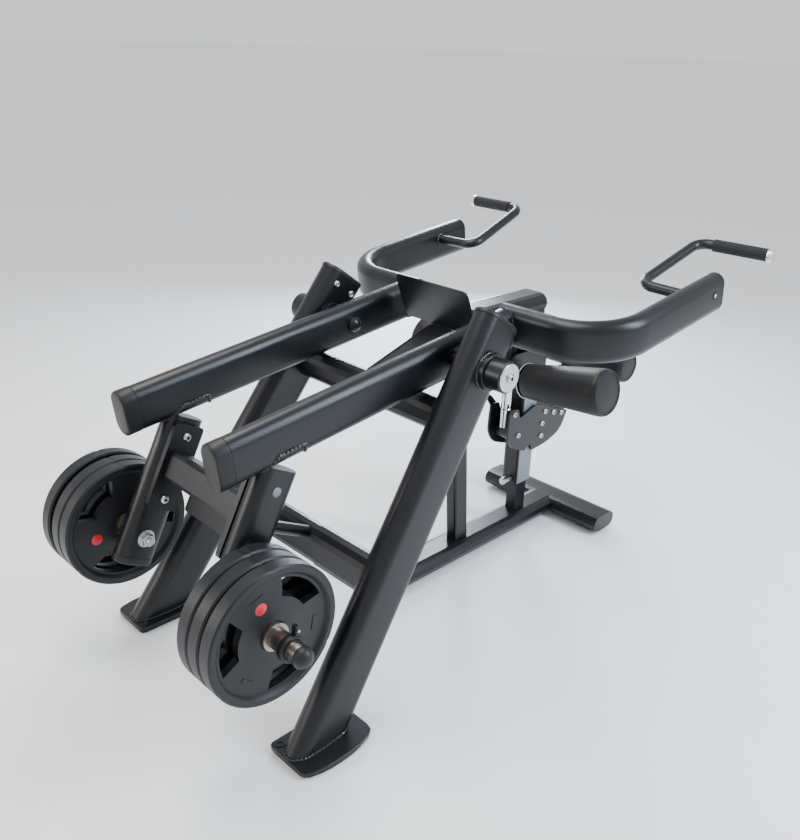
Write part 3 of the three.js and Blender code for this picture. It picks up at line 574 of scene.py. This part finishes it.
def stitched_pad(name, body, node, start, end, r0, r1, bore, discs):
    """Upholstered roller: crowned cover, piped ends, stitched end discs and wrinkles near the seams."""
    part = Part()
    axis = end - start
    length = axis.length
    axis.normalize()
    side = (X if abs(axis.z) > 0.9 else Z).cross(axis).normalized()
    other = axis.cross(side)
    segments, rows = 120, 46
    rings = []

    def ring(radius, height, pucker):
        pts = []
        for i in range(segments):
            a = 2 * math.pi * i / segments
            fold = 1 + pucker * (math.sin(a * 23 + height * 40) + 0.5 * math.sin(a * 41 + 1.3))
            around = side * math.cos(a) + other * math.sin(a)
            pts.append(start + axis * height + around * (radius * fold))
        return pts

    rings.append(ring(bore, 0.0005, 0))
    rings.append(ring(r0 - 0.012, 0.0002, 0.0))
    rings.append(ring(r0 - 0.006, 0.0016, 0.001))
    for k in range(rows + 1):
        f = k / rows
        height = 0.004 + (length - 0.008) * f
        edge = min(f, 1 - f)
        crown = 1 - 0.045 * math.exp(-edge * 42)
        pucker = 0.0035 * math.exp(-edge * 26)
        rings.append(ring((r0 + (r1 - r0) * f) * crown, height, pucker))
    rings.append(ring(r1 - 0.007, length - 0.0016, 0.001))
    rings.append(ring(r1 - 0.013, length - 0.0004, 0))
    rings.append(ring(0.0005, length + 0.0012, 0))
    part.rings(rings, VINYL)
    for at, radius, sign in ((start, r0, -1), (end, r1, 1)):
        if sign < 0 and not discs:
            continue
        inner = radius - 0.0085
        centre = at + axis * (sign * -0.0006)
        cord_rings = []
        for i in range(96):
            a = 2 * math.pi * i / 96
            around = side * math.cos(a) + other * math.sin(a)
            cord_rings.append([
                centre + around * (inner + PIPING * math.cos(b)) + axis * (PIPING * math.sin(b))
                for b in (2 * math.pi * j / 8 for j in range(8))
            ])
        part.rings(cord_rings, VINYL, closed=True)
        for i in range(60):
            a = 2 * math.pi * i / 60
            around = side * math.cos(a) + other * math.sin(a)
            along = axis.cross(around)
            mid = at + around * (inner - 0.0062) + axis * (sign * 0.0008)
            loop = [mid + along * u + around * w for u, w in
                    ((-0.0024, -0.0005), (0.0024, -0.0005), (0.0024, 0.0005), (-0.0024, 0.0005))]
            part.rings([loop, [p + axis * (sign * 0.0007) for p in loop]], THREAD)
    for i in range(2, 58):
        f = i / 60
        seam_at = start + axis * (length * f)
        r = (r0 + (r1 - r0) * f) * (1 - 0.045 * math.exp(-min(f, 1 - f) * 42)) + 0.0002
        around = (side * math.cos(2.2) + other * math.sin(2.2))
        along = axis
        across = axis.cross(around)
        loop = [seam_at + around * r + along * u + across * w for u, w in
                ((-0.0018, -0.0005), (0.0018, -0.0005), (0.0018, 0.0005), (-0.0018, 0.0005))]
        part.rings([loop, [p + around * 0.0006 for p in loop]], THREAD)
    obj = part.finish(name, body, [node], 0, 50)
    return obj


for side_name, s in SIDES:
    start = Vector((0.087 * s, ROLLER_Y, 0.610))
    end = Vector((0.383 * s, ROLLER_Y, 0.656))
    stitched_pad(f"roller_pad_{side_name}_cover", f"roller_{side_name}", f"roller_pad_{side_name}",
                 start, end, 0.0565, 0.0750, 0.0132, False)
    part = Part()
    direction = (end - start).normalized()
    part.turned([(0.015, -0.0010), (0.052, -0.0010), (0.0570, -0.0035), (0.0570, -0.0090), (0.052, -0.0098),
                 (0.015, -0.0098)], start, direction, PLASTIC, 64, closed=True)
    part.turned([(0.0545, -0.0012), (0.0578, -0.0024), (0.0582, -0.0045), (0.0545, -0.0045)],
                start, direction, ALU, 64, closed=True)
    part.finish(f"roller_{side_name}_ring", "frame", [], 0)
stitched_pad("front_pad_cover", "carriage", "front_pad", Vector((-0.199, -0.952 + FRAME_Y, 0.5895)),
             Vector((0.199, -0.952 + FRAME_Y, 0.5895)), 0.057, 0.057, 0.002, True)


# ---- CAD nodes that stay -------------------------------------------------------------
for entry in frame["record"]["subparts"]:
    obj = NODES[entry["node"]]
    if obj.hide_render:
        continue
    obj.data.materials.clear()
    obj.data.materials.append(SLOTS[entry["material_slot"]])
    obj.data.polygons.foreach_set("use_smooth", [True] * len(obj.data.polygons))
    obj.data.set_sharp_from_angle(angle=math.radians(32))
    add_bevel(obj, 0.0009)


# ---- bolts over the CAD's plain heads ------------------------------------------------
car = Part()
for s in (-1, 1):
    for by, bz in ((-0.528, 0.478), (-0.556, 0.394), (-0.688, 0.402), (-0.688, 0.355), (-0.700, 0.444),
                   (-0.750, 0.428), (-0.798, 0.414)):
        screw(car, Vector((s * 0.0462, by + FRAME_Y, bz)), X * s, 0.0107, 0.0062)
car.finish("carriage_screws", "carriage", [], 0)
link = Part()
for s in (-1, 1):
    for down in (-0.289, -0.117):
        screw(link, on_hanger(s * 0.1541, down), X * -s, 0.0117, 0.0078)
link.finish("link_screws", "lever_assembly", [], 0)
hub = Part()
for s in (-1, 1):
    hub.turned([(0.037, 0.4136), (0.037, 0.4168), (0.0355, 0.4180), (0.012, 0.4180)],
               Vector((0, FRAME_Y, PIVOT_Z)), X * s, ZINC, 64)
    screw(hub, Vector((s * 0.4182, FRAME_Y, PIVOT_Z)), X * s, 0.013, 0.0075)
hub.finish("pivot_discs", "lever_assembly", [], 0)


# ---- floor, light and camera ---------------------------------------------------------
FLOOR_REACH = 150
mesh = bpy.data.meshes.new("studio_floor")
corners = [(-FLOOR_REACH, -FLOOR_REACH, 0), (FLOOR_REACH, -FLOOR_REACH, 0),
           (FLOOR_REACH, FLOOR_REACH, 0), (-FLOOR_REACH, FLOOR_REACH, 0)]
mesh.from_pydata(corners, [], [(0, 1, 2, 3)])
floor = bpy.data.objects.new("studio_floor", mesh)
bpy.context.scene.collection.objects.link(floor)
floor.data.materials.append(material("studio_paper", (0.93, 0.93, 0.93), 0.9, grain=60, bump=0.02,
                                     colour_spread=0.01))

world = bpy.data.worlds.new("studio")
bpy.context.scene.world = world
world.use_nodes = True
world.node_tree.nodes["Background"].inputs["Color"].default_value = (0.95, 0.97, 1.0, 1)
world.node_tree.nodes["Background"].inputs["Strength"].default_value = 1.0


def area(name, at, target, size, power, colour):
    light = bpy.data.lights.new(name, "AREA")
    light.shape = "RECTANGLE"
    light.size, light.size_y = size
    light.energy = power
    light.color = colour
    obj = bpy.data.objects.new(name, light)
    bpy.context.scene.collection.objects.link(obj)
    obj.location = at
    obj.rotation_euler = (Vector(target) - Vector(at)).to_track_quat("-Z", "Y").to_euler()


area("window_left", (-2.6, -1.2, 2.3), (0, 0, 0.6), (0.6, 2.2), 120, (0.75, 0.87, 1.0))
area("top_soft", (0.4, 0.4, 3.2), (0, 0, 0.4), (2.4, 1.2), 75, (1.0, 0.98, 0.95))
area("rear_fill", (1.4, 3.0, 1.5), (0, 0, 0.5), (1.6, 0.9), 40, (1.0, 0.95, 0.88))
area("front_edge", (2.2, -2.4, 1.6), (0, 0, 0.7), (0.5, 2.0), 95, (0.80, 0.90, 1.0))

azimuth, pitch, roll = math.radians(224.77), math.radians(24.4), math.radians(1.89)
look = Vector((-math.sin(azimuth) * math.cos(pitch), math.cos(azimuth) * math.cos(pitch), -math.sin(pitch)))
right = look.cross(Z).normalized()
upward = right.cross(look)
cam_x = right * math.cos(roll) + upward * math.sin(roll)
cam_y = -right * math.sin(roll) + upward * math.cos(roll)
camera_data = bpy.data.cameras.new("camera")
camera_data.sensor_width = 36
camera_data.lens = 37.43
camera_data.clip_end = 1000
camera_data.shift_x = -0.0039
camera_data.shift_y = 0.0205
camera = bpy.data.objects.new("camera", camera_data)
bpy.context.scene.collection.objects.link(camera)
camera.matrix_world = Matrix.Translation((-1.679, 1.643 + FRAME_Y, 1.603)) @ Matrix(
    (cam_x, cam_y, -look)).transposed().to_4x4()
bpy.context.scene.camera = camera
